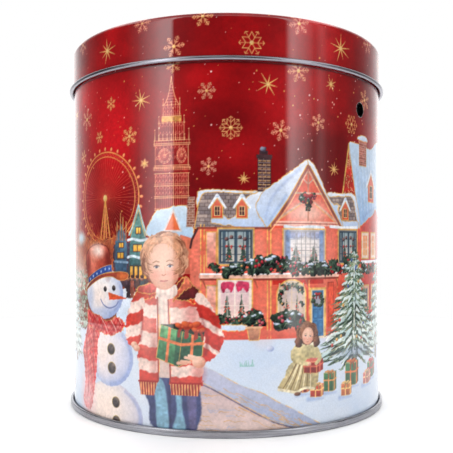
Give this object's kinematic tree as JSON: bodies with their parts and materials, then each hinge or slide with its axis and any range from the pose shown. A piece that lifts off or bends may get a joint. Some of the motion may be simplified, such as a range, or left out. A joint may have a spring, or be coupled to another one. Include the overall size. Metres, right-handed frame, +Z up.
{
  "type": "cookie tin",
  "caption": "Tall round tinplate canister with a slip-over lid, curled rims, a double-seamed base and punched cord holes below the lid.",
  "frame": {"origin": "centre of the rest plane, on the tin's axis, level with the bottom of the double seam", "axes": "+Z up along the tin's axis, which the lid slides on; the two cord holes lie on +X and -X; -Y is the middle of the printed picture and +Y the lap seam"},
  "size_m": [0.1584, 0.1584, 0.172],
  "materials": {
    "printed_lid": "gloss varnish over printed red, bare metal inside and on the bead",
    "printed_wall": "gloss varnish over a printed picture, bare metal inside",
    "bare_tinplate": "bright tinplate"
  },
  "bodies": {
    "tin": {"wall": "printed_wall", "base": "bare_tinplate"},
    "lid": {"lid": "printed_lid"}
  },
  "joints": [
    {"name": "lid_lift", "type": "slide", "parent": "tin", "child": "lid", "axis": [0, 0, 1], "range_m": [0, 0.06]}
  ]
}
